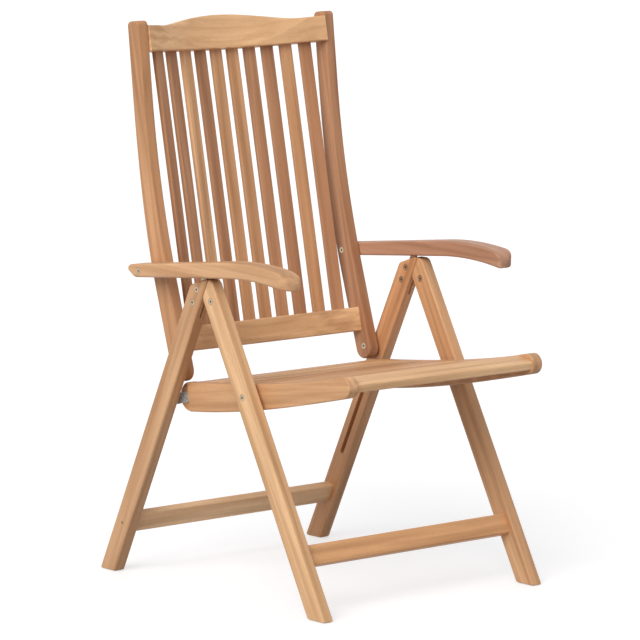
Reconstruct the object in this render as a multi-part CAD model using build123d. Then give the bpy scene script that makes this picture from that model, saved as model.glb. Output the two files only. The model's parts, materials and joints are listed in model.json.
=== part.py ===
from build123d import *
import math
import os

# Folding recliner chair in solid timber, in millimetres.
# X runs across the chair (the sitter's left is +X), the front is -Y and the floor is Z = 0.
# The origin lies on the floor under the middle of the chair's bounding box.

# Overall
CHAIR_DEPTH = 742.0
LEG_OUTER_X = 290.0
LEG_THICK = 26.0
LEG_WIDTH = 44.0
LEG_EDGE_ROUND = 3.5
FOOT_CHAMFER = 2.5

# Leg frames, seen from the side
REAR_LEAN = 25.8
FRONT_LEAN = 28.5
HINGE_RISE = 681.0
HINGE_OFFSET = 49.0
LEG_JOINT_GAP = 0.4
LEG_JOINT_ROUND = 14.0
LEG_TOP_RISE = 42.2
REAR_TOP_FLAT = 12.0
REAR_TOP_SLOPE = 19.0
REAR_TOP_ROUND = 12.0
FRONT_TOP_ROUND = 16.0

# Stretchers between the legs
STRETCHER_HEIGHT = 42.0
STRETCHER_THICK = 20.0
REAR_STRETCHER_RISE = 118.0
FRONT_STRETCHER_RISE = 131.0
TENON_LENGTH = 18.0
TENON_INSET = 5.0
TENON_PIN_RADIUS = 3.0
TENON_PIN_LENGTH = 22.0

# Plate hinge at the leg tops and the pin that carries the arm
PLATE_THICK = 4.0
PLATE_LUG_RADIUS = 13.0
PLATE_BOLT_RISES = (649.0, 679.0)
KERF_CLEARANCE = 0.4
KERF_LOW_RISE = 625.0
KERF_BACK = 14.0
ARM_PIN_RISE = 716.0
ARM_PIN_RADIUS = 4.0
ARM_PIN_LENGTH = 14.0
TONGUE_RADIUS = 7.5
TONGUE_SADDLE = 4.5

# Bolts and clearances
BOLT_RADIUS = 3.0
BOLT_HEAD_RADIUS = 6.6
BOLT_HEAD_THICK = 2.0
BOLT_SOCKET = 4.0
BOLT_SOCKET_DEPTH = 1.2
HEAD_RECESS_CLEARANCE = 0.4
RUN_CLEARANCE = 0.05
SIDE_CLEARANCE = 0.3

# Seat
SEAT_RAIL_OUTER_X = 255.0
SEAT_RAIL_THICK = 26.0
SEAT_PIVOT_DROP = 205.0
SLIDE_ROD = 260.0
SLIDE_PIN_RADIUS = 4.0
GROOVE_PLAY = 1.2
GROOVE_DEPTH = 10.0
RAIL_REAR_REACH = 219.0
RAIL_REAR_RISE = 3.0
RAIL_REAR_RADIUS = 29.5
RAIL_NOSE_RISE = 9.0
RAIL_NOSE_RADIUS = 21.0
SEAT_DISH = 8.5
SEAT_EDGE_ROUND = 3.0
SEAT_SLATS = 9
SEAT_SLAT_WIDTH = 46.0
SEAT_SLAT_THICK = 18.0
SEAT_SLAT_ROUND = 4.0
SEAT_SLAT_SINK = 1.0
FRONT_SLAT_TILT = 12.0
FRONT_SLAT_RECESS = 4.5
FRONT_SLAT_LIFT = 1.5
FRONT_SLAT_GAP = 7.0
REBATE_DEPTH = 8.0
REBATE_START = 5.0
BRACKET_THICK = 3.0
BRACKET_WIDTH = 22.0
BRACKET_TAIL = 32.0
SCREW_RADIUS = 2.0
SCREW_LENGTH = 12.0
SCREW_HEAD_RADIUS = 3.6
SCREW_HEAD_THICK = 1.6
SCREW_PITCH = 14.0

# Back
STILE_OUTER_X = 259.0
STILE_THICK = 26.0
STILE_DEPTH = 44.0
STILE_TOP_DEPTH = 36.0
STILE_PIVOT_SETBACK = 18.0
STILE_END_DROP = 4.0
STILE_LEAN = 17.3
STILE_TOP_LEAN = 6.3
STILE_STRAIGHT = 173.0
STILE_BEND_RADIUS = 2000.0
STILE_TOP_RUN = 147.0
STILE_TOP_ROUND = 9.0
STILE_EDGE_ROUND = 4.0
BACK_PIVOT_RISE = 482.0
BACK_PIVOT_OFFSET = 11.0
BACK_BOLT_RADIUS = 4.0
BACK_BOLT_GRIP = 18.0
BACK_WASHER_RADIUS = 11.0
PANEL_LEAN = 11.4
PANEL_RADIUS = 680.0
PANEL_SETBACK = 5.0
PANEL_RISE = 33.0
BOTTOM_RAIL_HEIGHT = 50.0
BOTTOM_RAIL_FRONT = 8.0
BOTTOM_RAIL_BACK = 14.0
TOP_RAIL_HEIGHT = 52.0
TOP_RAIL_CREST = 73.0
TOP_RAIL_CREST_SPAN = 320.0
TOP_RAIL_FRONT = 19.0
TOP_RAIL_BACK = 15.0
TOP_RAIL_SCOOP = 17.0
TOP_RAIL_SCOOP_SPAN = 440.0
RAIL_TENON_THICK = 11.0
BACK_SLATS = 10
BACK_SLAT_PITCH = 43.2
BACK_SLAT_WIDTH = 27.0
BACK_SLAT_THICK = 10.0
BACK_SLAT_LENGTH = 560.0
BACK_SLAT_TENON = 12.0
BACK_SLAT_ROUND = 2.0

# Arms
ARM_INNER_X = 260.0
ARM_WIDTH = 46.0
ARM_PIVOT_RISE = 207.3
ARM_PIVOT_LEAN = 20.0
ARM_PITCH = 5.6
ARM_REAR_THICK = 26.0
ARM_FRONT_THICK = 32.0
ARM_TAIL = 26.0
ARM_TAIL_SLANT = 11.0
ARM_STRAIGHT = 268.0
ARM_REACH = 447.0
ARM_DROOP_RADIUS = 675.0
ARM_EDGE_ROUND = 5.0
ARM_TAIL_ROUND = 9.0
ARM_FRONT_OUTER_ROUND = 26.0
ARM_FRONT_INNER_ROUND = 8.0
ARM_GROOVE_PLAY = 2.0
ARM_GROOVE_MARGIN = 22.0
NOTCH_RAIL_HEIGHT = 5.0
NOTCH_DEPTH = 3.0
NOTCHES = 5
NOTCH_PITCH = 27.0
NOTCH_PIN_GAP = 0.4
RAIL_SCREW_GRIP = 8.0


def rad(angle):
    return math.radians(angle)


def move(start, angle, distance):
    """Side-view point (y, z) a distance from start, at an angle from upright towards the back."""
    return (start[0] + distance * math.sin(rad(angle)), start[1] + distance * math.cos(rad(angle)))


def crossing(p, angle_p, q, angle_q):
    """Side-view point where the line from p at angle_p meets the line from q at angle_q."""
    py, pz = math.sin(rad(angle_p)), math.cos(rad(angle_p))
    qy, qz = math.sin(rad(angle_q)), math.cos(rad(angle_q))
    run = ((q[0] - p[0]) * qz - (q[1] - p[1]) * qy) / (py * qz - pz * qy)
    return (p[0] + run * py, p[1] + run * pz)


def between(p, q, share):
    return (p[0] + (q[0] - p[0]) * share, p[1] + (q[1] - p[1]) * share)


def bearing(p, q):
    """Angle from upright, towards the back, of the direction from p to q."""
    return math.degrees(math.atan2(q[0] - p[0], q[1] - p[1]))


def across(face, x_from, x_to):
    """Extrude a side-view face from x_from to x_to."""
    return extrude(Plane.YZ.offset(x_from) * face, amount=x_to - x_from)


def rod(point, radius, x_from, x_to):
    """Round bar across the chair at a side-view point."""
    return across(Pos(point[0], point[1]) * Circle(radius), x_from, x_to)


def strip(p, q, width):
    """Round-ended side-view strip from p to q."""
    turn = 90 - bearing(p, q)
    mid = between(p, q, 0.5)
    return Pos(mid[0], mid[1]) * Rot(0, 0, turn) * SlotCenterToCenter(math.dist(p, q), width)


def bar(point, lean, width, height, x_from, x_to):
    """Rectangular bar across the chair, its height along a line that leans back from upright."""
    return across(Pos(point[0], point[1]) * Rot(0, 0, -lean) * Rectangle(width, height), x_from, x_to)


def near_vertex(face, point):
    return face.vertices().sort_by_distance((point[0], point[1], 0))[0]


def other_side(solid):
    return mirror(solid, about=Plane.YZ)


def both_sides(solid):
    return Compound(children=[solid, other_side(solid)])


def bolt(point, radius, x_inner, x_outer):
    """Bolt with a flat round head and a hex socket at each end, flush with the two faces it spans."""
    shank = rod(point, radius, x_inner, x_outer)
    heads = rod(point, BOLT_HEAD_RADIUS, x_inner, x_inner + BOLT_HEAD_THICK)
    heads += rod(point, BOLT_HEAD_RADIUS, x_outer - BOLT_HEAD_THICK, x_outer)
    socket = Pos(point[0], point[1]) * RegularPolygon(BOLT_SOCKET / math.sqrt(3), 6)
    sockets = across(socket, x_inner, x_inner + BOLT_SOCKET_DEPTH)
    sockets += across(socket, x_outer - BOLT_SOCKET_DEPTH, x_outer)
    return shank + heads - sockets


def head_recess(point, x_face, inward, clearance=0.0):
    """Recess for a bolt head in a face at x_face; inward is +1 where the wood lies at larger X."""
    x_floor = x_face + (BOLT_HEAD_THICK + clearance) * inward
    radius = BOLT_HEAD_RADIUS + HEAD_RECESS_CLEARANCE
    return rod(point, radius, min(x_face, x_floor), max(x_face, x_floor))


# Key points in the side view (y, z)
leg_inner_x = LEG_OUTER_X - LEG_THICK
leg_mid_x = LEG_OUTER_X - LEG_THICK / 2
rear_half = LEG_WIDTH / 2 / math.cos(rad(REAR_LEAN))
front_half = LEG_WIDTH / 2 / math.cos(rad(FRONT_LEAN))
rear_foot = (CHAIR_DEPTH / 2 + FOOT_CHAMFER * math.sin(rad(REAR_LEAN)) - rear_half, 0.0)


def up_rear(rise, behind=0.0):
    """Point at a rise up the rear leg's centre line, and a distance behind that line."""
    return move(move(rear_foot, -REAR_LEAN, rise), 90 - REAR_LEAN, behind)


hinge = up_rear(HINGE_RISE, -HINGE_OFFSET)
leg_top_z = hinge[1] + LEG_TOP_RISE
front_foot = crossing(hinge, FRONT_LEAN, (0.0, 0.0), 90)


def up_front(rise):
    return move(front_foot, FRONT_LEAN, rise)


seat_pivot = move(hinge, FRONT_LEAN + 180, SEAT_PIVOT_DROP)
open_angle = REAR_LEAN + FRONT_LEAN
pivot_reach = HINGE_OFFSET + SEAT_PIVOT_DROP * math.sin(rad(open_angle))
slide_drop = SEAT_PIVOT_DROP * math.cos(rad(open_angle)) + math.sqrt(SLIDE_ROD**2 - pivot_reach**2)
slide_drop_folded = SEAT_PIVOT_DROP + math.sqrt(SLIDE_ROD**2 - HINGE_OFFSET**2)
slide_pin = up_rear(HINGE_RISE - slide_drop)
back_pivot = up_rear(BACK_PIVOT_RISE, BACK_PIVOT_OFFSET)
arm_pin = up_rear(ARM_PIN_RISE)
plate_bolts = [up_rear(rise) for rise in PLATE_BOLT_RISES]
arm_pivot = move(back_pivot, ARM_PIVOT_LEAN, ARM_PIVOT_RISE)

nodes = {}


def add_pair(name, left):
    nodes[name + "_left"] = left
    nodes[name + "_right"] = other_side(left)


def eased_leg(face):
    """Leg board from its side view, with rounded long edges and a chamfered foot."""
    leg = across(face, leg_inner_x, LEG_OUTER_X)
    leg = fillet(leg.edges().filter_by(lambda edge: edge.length > leg_top_z / 2), LEG_EDGE_ROUND)
    return chamfer(leg.faces().sort_by(Axis.Z)[0].edges(), FOOT_CHAMFER)


def stretcher(rise_point, lean):
    """Cross bar between a pair of legs, with a tenon in each leg."""
    bar_solid = bar(rise_point, lean, STRETCHER_THICK, STRETCHER_HEIGHT, -leg_inner_x, leg_inner_x)
    bar_solid = fillet(bar_solid.edges().filter_by(Axis.X), LEG_EDGE_ROUND)
    tenon_reach = leg_inner_x + TENON_LENGTH
    tenon = bar(rise_point, lean, STRETCHER_THICK - 2 * TENON_INSET, STRETCHER_HEIGHT - 2 * TENON_INSET,
                -tenon_reach, tenon_reach)
    pin_hole = rod(rise_point, TENON_PIN_RADIUS + RUN_CLEARANCE, leg_inner_x, LEG_OUTER_X)
    return bar_solid + tenon - pin_hole - other_side(pin_hole)


def stretcher_mortise(rise_point, lean):
    fit = 2 * RUN_CLEARANCE - 2 * TENON_INSET
    reach = leg_inner_x + TENON_LENGTH + RUN_CLEARANCE
    mortise = bar(rise_point, lean, STRETCHER_THICK + fit, STRETCHER_HEIGHT + fit, leg_inner_x, reach)
    return mortise + rod(rise_point, TENON_PIN_RADIUS + RUN_CLEARANCE, leg_inner_x, LEG_OUTER_X)


def tenon_pins(rise_point):
    return both_sides(rod(rise_point, TENON_PIN_RADIUS, LEG_OUTER_X - TENON_PIN_LENGTH, LEG_OUTER_X))


# Rear frame: the leg's top is flat at the joint, then falls to the rear under the tilted arm
rear_front_base = (rear_foot[0] - rear_half, 0.0)
rear_back_base = (rear_foot[0] + rear_half, 0.0)
rear_top_front = crossing(rear_front_base, -REAR_LEAN, (0.0, leg_top_z), 90)
rear_top_bend = move(rear_top_front, 90, REAR_TOP_FLAT)
rear_top_back = crossing(rear_back_base, -REAR_LEAN, rear_top_bend, 90 + REAR_TOP_SLOPE)
rear_outline = make_face(Polyline(
    rear_front_base, rear_back_base, rear_top_back, rear_top_bend, rear_top_front, close=True))
rear_outline = fillet(near_vertex(rear_outline, rear_top_bend), REAR_TOP_ROUND)
rear_outline = fillet(near_vertex(rear_outline, rear_top_back), REAR_TOP_ROUND)
rear_stretcher_point = up_rear(REAR_STRETCHER_RISE)

kerf_width = PLATE_THICK + 2 * KERF_CLEARANCE
kerf_from, kerf_to = leg_mid_x - kerf_width / 2, leg_mid_x + kerf_width / 2
kerf_top_rise = HINGE_RISE + LEG_WIDTH
rear_kerf = make_face(Polyline(
    up_rear(KERF_LOW_RISE, -LEG_WIDTH), up_rear(KERF_LOW_RISE, KERF_BACK),
    up_rear(kerf_top_rise, KERF_BACK), up_rear(kerf_top_rise, -LEG_WIDTH), close=True))
groove_low = up_rear(HINGE_RISE - slide_drop_folded)
groove = strip(slide_pin, groove_low, 2 * (SLIDE_PIN_RADIUS + GROOVE_PLAY))

rear_leg = eased_leg(rear_outline)
rear_leg -= across(rear_kerf, kerf_from, kerf_to)
rear_leg -= across(groove, leg_inner_x, leg_inner_x + GROOVE_DEPTH)
rear_leg -= stretcher_mortise(rear_stretcher_point, -REAR_LEAN)
back_bolt_end_x = leg_inner_x + BACK_BOLT_GRIP
rear_leg -= rod(back_pivot, BACK_BOLT_RADIUS + RUN_CLEARANCE, leg_inner_x, back_bolt_end_x + SIDE_CLEARANCE)
for point in plate_bolts:
    rear_leg -= rod(point, BOLT_RADIUS + RUN_CLEARANCE, leg_inner_x, LEG_OUTER_X)
    rear_leg -= head_recess(point, leg_inner_x, 1) + head_recess(point, LEG_OUTER_X, -1)
add_pair("rear_leg", rear_leg)
nodes["rear_stretcher"] = stretcher(rear_stretcher_point, -REAR_LEAN)
nodes["rear_tenon_pins"] = tenon_pins(rear_stretcher_point)

plate_face = strip(plate_bolts[0], plate_bolts[1], 2 * PLATE_LUG_RADIUS)
plate_face += strip(plate_bolts[1], hinge, 2 * PLATE_LUG_RADIUS)
plate_face += strip(plate_bolts[1], up_rear(ARM_PIN_RISE - TONGUE_SADDLE), 2 * TONGUE_RADIUS)
plate = across(plate_face, leg_mid_x - PLATE_THICK / 2, leg_mid_x + PLATE_THICK / 2)
for point in plate_bolts + [hinge]:
    plate -= rod(point, BOLT_RADIUS + RUN_CLEARANCE, kerf_from, kerf_to)
plate -= rod(arm_pin, ARM_PIN_RADIUS + RUN_CLEARANCE, kerf_from, kerf_to)
add_pair("hinge_plate", plate)
plate_bolt_set = [bolt(point, BOLT_RADIUS, leg_inner_x, LEG_OUTER_X) for point in plate_bolts]
nodes["hinge_plate_bolts"] = Compound(children=plate_bolt_set + [other_side(item) for item in plate_bolt_set])
nodes["arm_support_pins"] = both_sides(
    rod(arm_pin, ARM_PIN_RADIUS, leg_mid_x - ARM_PIN_LENGTH / 2, leg_mid_x + ARM_PIN_LENGTH / 2))

# Front frame: the kerf for the plate is open to the joint and above, and stops short of the leg's front
butt_line = up_rear(0.0, -LEG_WIDTH / 2 - LEG_JOINT_GAP)
front_rear_edge = (front_foot[0] + front_half, 0.0)
joint_low = crossing(front_rear_edge, FRONT_LEAN, butt_line, -REAR_LEAN)
joint_top = crossing(butt_line, -REAR_LEAN, (0.0, leg_top_z), 90)
front_top = crossing((front_foot[0] - front_half, 0.0), FRONT_LEAN, (0.0, leg_top_z), 90)
front_outline = make_face(Polyline(
    (front_foot[0] - front_half, 0), front_rear_edge, joint_low, joint_top, front_top, close=True))
front_outline = fillet(near_vertex(front_outline, joint_low), LEG_JOINT_ROUND)
front_outline = fillet(near_vertex(front_outline, front_top), FRONT_TOP_ROUND)
front_stretcher_point = up_front(FRONT_STRETCHER_RISE)
kerf_shift = LEG_WIDTH - PLATE_LUG_RADIUS - KERF_CLEARANCE
front_kerf_middle = move(move(hinge, FRONT_LEAN, kerf_shift), FRONT_LEAN + 90, kerf_shift)
front_kerf = bar(front_kerf_middle, FRONT_LEAN, 2 * LEG_WIDTH, 2 * LEG_WIDTH, kerf_from, kerf_to)

front_leg = eased_leg(front_outline)
front_leg -= front_kerf
front_leg -= stretcher_mortise(front_stretcher_point, FRONT_LEAN)
for point in (hinge, seat_pivot):
    front_leg -= rod(point, BOLT_RADIUS + RUN_CLEARANCE, leg_inner_x, LEG_OUTER_X)
    front_leg -= head_recess(point, LEG_OUTER_X, -1)
front_leg -= head_recess(hinge, leg_inner_x, 1)
add_pair("front_leg", front_leg)
nodes["front_stretcher"] = stretcher(front_stretcher_point, FRONT_LEAN)
nodes["front_tenon_pins"] = tenon_pins(front_stretcher_point)
nodes["leg_hinge_bolts"] = both_sides(bolt(hinge, BOLT_RADIUS, leg_inner_x, LEG_OUTER_X))

seat_rail_inner_x = SEAT_RAIL_OUTER_X - SEAT_RAIL_THICK
nodes["seat_pivot_bolts"] = both_sides(bolt(seat_pivot, BOLT_RADIUS, seat_rail_inner_x, LEG_OUTER_X))
spacer_face = Pos(seat_pivot[0], seat_pivot[1]) * (
    Circle(BOLT_HEAD_RADIUS) - Circle(BOLT_RADIUS + RUN_CLEARANCE))
nodes["seat_pivot_spacers"] = both_sides(across(spacer_face, SEAT_RAIL_OUTER_X + SIDE_CLEARANCE, leg_inner_x))

# Seat: dished rails that run smoothly into their round ends, with a rebate at the rear for the slide bracket
seat_line = bearing(seat_pivot, slide_pin)
rail_rear = move(move(seat_pivot, seat_line, RAIL_REAR_REACH), seat_line - 90, RAIL_REAR_RISE)
nose_y = -CHAIR_DEPTH / 2 + RAIL_NOSE_RADIUS
nose_on_line = crossing(seat_pivot, seat_line, (nose_y, 0.0), 0)
rail_nose = (nose_y, nose_on_line[1] + RAIL_NOSE_RISE)
rail_axis = bearing(rail_nose, rail_rear)
rail_up = rail_axis - 90
dish_turn = math.degrees(math.atan(4 * SEAT_DISH / math.dist(rail_nose, rail_rear)))
nose_run, rear_run = rail_axis + dish_turn, rail_axis - dish_turn
rear_over = move(rail_rear, rear_run - 90, RAIL_REAR_RADIUS)
rear_under = move(rail_rear, rear_run + 90, RAIL_REAR_RADIUS)
nose_over = move(rail_nose, nose_run - 90, RAIL_NOSE_RADIUS)
nose_under = move(rail_nose, nose_run + 90, RAIL_NOSE_RADIUS)
dish_tangents = [move((0, 0), nose_run, 1), move((0, 0), rear_run, 1)]
top_curve = Spline(nose_over, rear_over, tangents=dish_tangents)
rail_face = make_face([
    top_curve,
    ThreePointArc(rear_over, move(rail_rear, rear_run, RAIL_REAR_RADIUS), rear_under),
    Spline(nose_under, rear_under, tangents=dish_tangents),
    ThreePointArc(nose_under, move(rail_nose, nose_run, -RAIL_NOSE_RADIUS), nose_over)])
seat_rail = across(rail_face, seat_rail_inner_x, SEAT_RAIL_OUTER_X)
seat_rail = fillet(seat_rail.edges().filter_by(Plane.YZ), SEAT_EDGE_ROUND)
rebate_mid = move(rail_rear, rail_axis, RAIL_REAR_RADIUS - REBATE_START)
rebate_floor_x = SEAT_RAIL_OUTER_X - REBATE_DEPTH
seat_rail -= bar(rebate_mid, rail_up, 2 * RAIL_REAR_RADIUS, 4 * RAIL_REAR_RADIUS,
                 rebate_floor_x, SEAT_RAIL_OUTER_X)
seat_rail -= rod(seat_pivot, BOLT_RADIUS + RUN_CLEARANCE, seat_rail_inner_x, SEAT_RAIL_OUTER_X)
seat_rail -= head_recess(seat_pivot, seat_rail_inner_x, 1, SIDE_CLEARANCE)

bracket_end = move(rail_rear, rail_axis, RAIL_REAR_RADIUS - BRACKET_TAIL + BRACKET_WIDTH / 2)
screw_points = [bracket_end, move(bracket_end, bearing(bracket_end, slide_pin), SCREW_PITCH)]
bracket = across(strip(bracket_end, slide_pin, BRACKET_WIDTH), rebate_floor_x, rebate_floor_x + BRACKET_THICK)
bracket += rod(slide_pin, SLIDE_PIN_RADIUS, rebate_floor_x, leg_inner_x + GROOVE_DEPTH - SIDE_CLEARANCE)
screws = []
for point in screw_points:
    bracket -= rod(point, SCREW_RADIUS + RUN_CLEARANCE, rebate_floor_x, SEAT_RAIL_OUTER_X)
    seat_rail -= rod(point, SCREW_RADIUS + RUN_CLEARANCE, rebate_floor_x - SCREW_LENGTH, rebate_floor_x)
    head_x = rebate_floor_x + BRACKET_THICK
    screw = rod(point, SCREW_RADIUS, rebate_floor_x - SCREW_LENGTH, head_x)
    screws.append(screw + rod(point, SCREW_HEAD_RADIUS, head_x, head_x + SCREW_HEAD_THICK))

# Seat slats lie between the rails, tenoned into them, along the dished top edge
slat_tenon = SEAT_RAIL_THICK / 2


def seat_slat(center, lean):
    """Cross slat with rounded long edges; lean turns its width from level."""
    slat = bar(center, lean, SEAT_SLAT_WIDTH, SEAT_SLAT_THICK, -seat_rail_inner_x, seat_rail_inner_x)
    slat = fillet(slat.edges().filter_by(Axis.X), SEAT_SLAT_ROUND)
    reach = seat_rail_inner_x + slat_tenon
    width, thick = SEAT_SLAT_WIDTH - 4 * SEAT_SLAT_ROUND, SEAT_SLAT_THICK - 2 * SEAT_SLAT_ROUND
    return slat + bar(center, lean, width, thick, -reach, reach)


def seat_slat_mortise(center, lean):
    reach = seat_rail_inner_x + slat_tenon + RUN_CLEARANCE
    width = SEAT_SLAT_WIDTH - 4 * SEAT_SLAT_ROUND + 2 * RUN_CLEARANCE
    thick = SEAT_SLAT_THICK - 2 * SEAT_SLAT_ROUND + 2 * RUN_CLEARANCE
    return bar(center, lean, width, thick, seat_rail_inner_x, reach)


half_slat = SEAT_SLAT_THICK / 2
front_slat_center = move(move(rail_nose, -90 - FRONT_SLAT_TILT,
                              RAIL_NOSE_RADIUS - FRONT_SLAT_RECESS - SEAT_SLAT_WIDTH / 2),
                         -FRONT_SLAT_TILT, FRONT_SLAT_LIFT)
slat_places = [(front_slat_center, -FRONT_SLAT_TILT)]
first_center = SEAT_SLAT_WIDTH * 1.5 - RAIL_NOSE_RADIUS + FRONT_SLAT_RECESS + FRONT_SLAT_GAP
first_share = first_center / top_curve.length
last_share = 1 - SEAT_SLAT_WIDTH / 2 / top_curve.length
for index in range(SEAT_SLATS - 1):
    share = first_share + (last_share - first_share) * index / (SEAT_SLATS - 2)
    on_top = top_curve @ share
    along = top_curve % share
    lean = math.degrees(math.atan2(-along.Y, along.X))
    slat_places.append((move((on_top.X, on_top.Y), lean, -half_slat - SEAT_SLAT_SINK), lean))
for index, (center, lean) in enumerate(slat_places):
    nodes[f"seat_slat_{index + 1}"] = seat_slat(center, lean)
    seat_rail -= seat_slat_mortise(center, lean)
add_pair("seat_rail", seat_rail)
add_pair("seat_slide_bracket", bracket)
nodes["bracket_screws"] = Compound(children=screws + [other_side(item) for item in screws])

# Back stiles: straight below the arm, then bent upright in a long arc
stile_inner_x = STILE_OUTER_X - STILE_THICK
front_low = move(back_pivot, STILE_LEAN - 90, STILE_PIVOT_SETBACK)
front_bend = move(front_low, STILE_LEAN, STILE_STRAIGHT)
bend_center = move(front_bend, STILE_LEAN - 90, STILE_BEND_RADIUS)
front_bend_mid = move(bend_center, (STILE_LEAN + STILE_TOP_LEAN) / 2 + 90, STILE_BEND_RADIUS)
front_bend_end = move(bend_center, STILE_TOP_LEAN + 90, STILE_BEND_RADIUS)
front_top_end = move(front_bend_end, STILE_TOP_LEAN, STILE_TOP_RUN)
rear_low = move(front_low, STILE_LEAN + 90, STILE_DEPTH)
rear_bend = move(front_bend, STILE_LEAN + 90, STILE_DEPTH)
rear_top_end = move(front_top_end, STILE_TOP_LEAN + 90, STILE_TOP_DEPTH)
end_center = move(between(front_low, rear_low, 0.5), STILE_LEAN, -STILE_END_DROP)
end_front = move(end_center, STILE_LEAN - 90, STILE_DEPTH / 2)
end_rear = move(end_center, STILE_LEAN + 90, STILE_DEPTH / 2)
low_direction, top_direction = move((0, 0), STILE_LEAN, 1), move((0, 0), STILE_TOP_LEAN, 1)
stile_face = make_face([
    Line(end_front, front_bend),
    ThreePointArc(front_bend, front_bend_mid, front_bend_end),
    Line(front_bend_end, front_top_end),
    Line(front_top_end, rear_top_end),
    Spline(rear_bend, rear_top_end, tangents=[low_direction, top_direction]),
    Line(rear_bend, end_rear),
    ThreePointArc(end_rear, move(end_center, STILE_LEAN, -STILE_DEPTH / 2), end_front)])
stile_face = fillet(near_vertex(stile_face, front_top_end), STILE_TOP_ROUND)
stile_face = fillet(near_vertex(stile_face, rear_top_end), STILE_TOP_ROUND)
stile = across(stile_face, stile_inner_x, STILE_OUTER_X)
stile = fillet(stile.edges().filter_by(Plane.YZ), STILE_EDGE_ROUND)
stile -= rod(back_pivot, BACK_BOLT_RADIUS + RUN_CLEARANCE, stile_inner_x, STILE_OUTER_X)
stile -= head_recess(back_pivot, stile_inner_x, 1, SIDE_CLEARANCE)
stile -= rod(arm_pivot, BOLT_RADIUS + RUN_CLEARANCE, stile_inner_x, STILE_OUTER_X)
stile -= head_recess(arm_pivot, stile_inner_x, 1, SIDE_CLEARANCE)

# Back panel: rails and slats on an arc that is hollow towards the sitter.
# Panel X runs across, panel Y runs back from the line between the stiles, panel Z runs up the slats.
panel_foot = move(move(back_pivot, STILE_LEAN, PANEL_RISE), STILE_LEAN + 90, PANEL_SETBACK)
panel = Plane(origin=(0, panel_foot[0], panel_foot[1]), x_dir=(1, 0, 0),
              z_dir=(0, math.sin(rad(PANEL_LEAN)), math.cos(rad(PANEL_LEAN))))
panel_sag = PANEL_RADIUS - math.sqrt(PANEL_RADIUS**2 - stile_inner_x**2)
arc_center = (0, panel_sag - PANEL_RADIUS)
top_rail_z = BOTTOM_RAIL_HEIGHT + BACK_SLAT_LENGTH


def curved_rail(front, back, height):
    """Rail between the stiles: a stretch of ring, front and back measured from the slats' middle."""
    ring = Circle(PANEL_RADIUS + back) - Circle(PANEL_RADIUS - front)
    window = Pos(0, PANEL_RADIUS) * Rectangle(2 * stile_inner_x, PANEL_RADIUS)
    return extrude(Pos(arc_center[0], arc_center[1]) * (ring & window), amount=height)


def rail_tenons(middle, low_z, height, fit=0.0):
    """Tenon through both stiles' mortises, in panel coordinates."""
    reach = stile_inner_x + TENON_LENGTH + fit
    size = (2 * reach, RAIL_TENON_THICK + 2 * fit, height - 2 * TENON_INSET + 2 * fit)
    ends = Pos(0, middle, low_z + height / 2) * Box(*size)
    return ends - Pos(0, middle, low_z + height / 2) * Box(2 * stile_inner_x, 2 * size[1], 2 * size[2])


bottom_middle = (BOTTOM_RAIL_BACK - BOTTOM_RAIL_FRONT) / 2
top_middle = (TOP_RAIL_BACK - TOP_RAIL_FRONT) / 2
bottom_rail = curved_rail(BOTTOM_RAIL_FRONT, BOTTOM_RAIL_BACK, BOTTOM_RAIL_HEIGHT)
bottom_rail += rail_tenons(bottom_middle, 0, BOTTOM_RAIL_HEIGHT)

crest_half = TOP_RAIL_CREST_SPAN / 2
crest_face = make_face([
    Polyline((-crest_half, TOP_RAIL_HEIGHT), (-stile_inner_x, TOP_RAIL_HEIGHT), (-stile_inner_x, 0),
             (stile_inner_x, 0), (stile_inner_x, TOP_RAIL_HEIGHT), (crest_half, TOP_RAIL_HEIGHT)),
    Spline((-crest_half, TOP_RAIL_HEIGHT), (0, TOP_RAIL_CREST), (crest_half, TOP_RAIL_HEIGHT),
           tangents=[(1, 0), (1, 0)])])
crest_block = extrude(Plane.XZ * crest_face, amount=PANEL_RADIUS / 2, both=True)
top_rail = curved_rail(TOP_RAIL_FRONT, TOP_RAIL_BACK, 2 * TOP_RAIL_CREST) & crest_block
scoop_lean = math.degrees(math.atan2(TOP_RAIL_SCOOP, TOP_RAIL_CREST))
face_radius = PANEL_RADIUS - TOP_RAIL_FRONT
scoop_edge_depth = TOP_RAIL_HEIGHT * math.tan(rad(scoop_lean))
scoop_bend = 1 / face_radius + 8 * scoop_edge_depth / TOP_RAIL_SCOOP_SPAN**2
scoop_radius = 1 / scoop_bend
scoop = Pos(0, panel_sag - TOP_RAIL_FRONT, 0) * Rot(-scoop_lean, 0, 0) * Pos(0, -scoop_radius, 0)
top_rail -= scoop * Cylinder(scoop_radius, 4 * TOP_RAIL_CREST)
top_rail += rail_tenons(top_middle, 0, TOP_RAIL_HEIGHT)
top_rail = Pos(0, 0, top_rail_z) * top_rail

back_slats = []
for index in range(BACK_SLATS):
    slat_x = (index - (BACK_SLATS - 1) / 2) * BACK_SLAT_PITCH
    turn = math.asin(slat_x / PANEL_RADIUS)
    slat_y = arc_center[1] + PANEL_RADIUS * math.cos(turn)
    place = Pos(slat_x, slat_y, BOTTOM_RAIL_HEIGHT + BACK_SLAT_LENGTH / 2) * Rot(0, 0, -math.degrees(turn))
    blade = Box(BACK_SLAT_WIDTH, BACK_SLAT_THICK, BACK_SLAT_LENGTH)
    blade = fillet(blade.edges().filter_by(Axis.Z), BACK_SLAT_ROUND)
    tenon_size = (BACK_SLAT_WIDTH - 2 * BACK_SLAT_ROUND, BACK_SLAT_THICK - 2 * BACK_SLAT_ROUND)
    tenon = Box(*tenon_size, BACK_SLAT_LENGTH + 2 * BACK_SLAT_TENON)
    mortise = Box(*[side + 2 * RUN_CLEARANCE for side in tenon_size],
                  BACK_SLAT_LENGTH + 2 * BACK_SLAT_TENON + 2 * RUN_CLEARANCE)
    bottom_rail -= place * mortise
    top_rail -= place * mortise
    nodes[f"back_slat_{index + 1:02d}"] = panel * place * (blade + tenon)

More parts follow.
